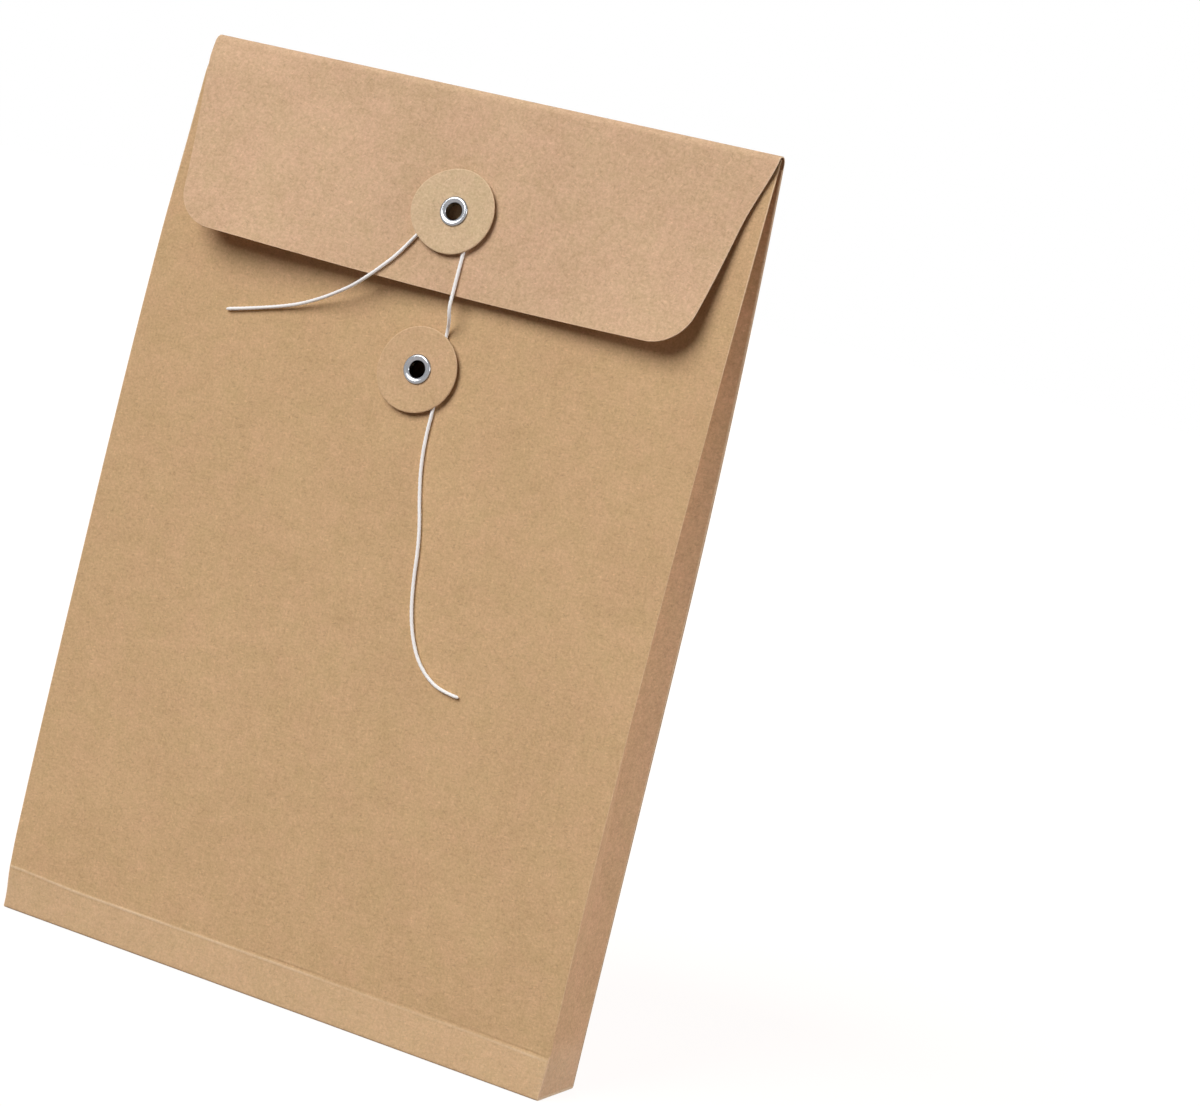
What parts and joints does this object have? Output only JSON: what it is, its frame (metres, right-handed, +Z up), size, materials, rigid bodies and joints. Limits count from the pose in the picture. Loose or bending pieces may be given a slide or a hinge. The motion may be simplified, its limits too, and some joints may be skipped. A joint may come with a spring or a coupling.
{
  "type": "string tie envelope",
  "caption": "Upright kraft card document envelope with gusseted sides, a fold-over flap with rounded corners, and eyeleted card discs that a string winds round to tie it shut.",
  "frame": {"origin": "middle of the flat base, on the surface that the envelope stands on", "axes": "X across the front, -Y is the front with the flap and the buttons, +Z is up to the top fold"},
  "size_m": [0.225, 0.03, 0.33],
  "materials": {
    "kraft_card": "matte",
    "gusset_card": "matte",
    "button_card": "matte",
    "nickel": "polished",
    "white_string": "matte"
  },
  "bodies": {
    "pouch": {"back_panel": "kraft_card", "bottom_panel": "kraft_card", "front_base_band": "kraft_card", "top_fold": "kraft_card", "left_gusset_front_leaf": "gusset_card", "left_gusset_back_leaf": "gusset_card", "right_gusset_front_leaf": "gusset_card", "right_gusset_back_leaf": "gusset_card", "left_gusset_back_tab": "gusset_card", "right_gusset_back_tab": "gusset_card", "left_gusset_base_tab": "gusset_card", "right_gusset_base_tab": "gusset_card"},
    "front": {"front_panel": "kraft_card", "left_gusset_front_tab": "gusset_card", "right_gusset_front_tab": "gusset_card", "lower_eyelet": "nickel"},
    "flap": {"flap": "kraft_card", "upper_eyelet": "nickel", "string_turn": "white_string"},
    "string_ends": {"string_tail": "white_string", "string_run": "white_string"},
    "upper_button": {"upper_button": "button_card"},
    "lower_button": {"lower_button": "button_card"}
  },
  "joints": [
    {"name": "flap_fold", "type": "hinge", "parent": "pouch", "child": "flap", "pos_m": [0, 0.0003, 0.327], "axis": [-1, 0, 0], "range_deg": [0, 160], "deforming": ["top_fold"]},
    {"name": "mouth_open", "type": "hinge", "parent": "pouch", "child": "front", "pos_m": [0, -0.015, 0.015], "axis": [1, 0, 0], "range_deg": [0, 3], "deforming": ["left_gusset_front_leaf", "left_gusset_back_leaf", "right_gusset_front_leaf", "right_gusset_back_leaf"]},
    {"name": "string_hang", "type": "hinge", "parent": "flap", "child": "string_ends", "pos_m": [0, -0.01286, 0.25764], "axis": [-1, 0, 0], "range_deg": [-130, 0], "deforming": ["string_tail", "string_run"]},
    {"name": "upper_button_spin", "type": "hinge", "parent": "flap", "child": "upper_button", "pos_m": [0.002, -0.00819, 0.28657], "axis": [0, -0.991, 0.134], "continuous": true},
    {"name": "lower_button_spin", "type": "hinge", "parent": "front", "child": "lower_button", "pos_m": [0.002, -0.00809, 0.2304], "axis": [0, -0.9979, 0.0641], "continuous": true}
  ],
  "couplings": [
    {"joint": "mouth_open", "follows": "flap_fold", "ratio": 0.01875},
    {"joint": "string_hang", "follows": "flap_fold", "ratio": -0.8125}
  ]
}
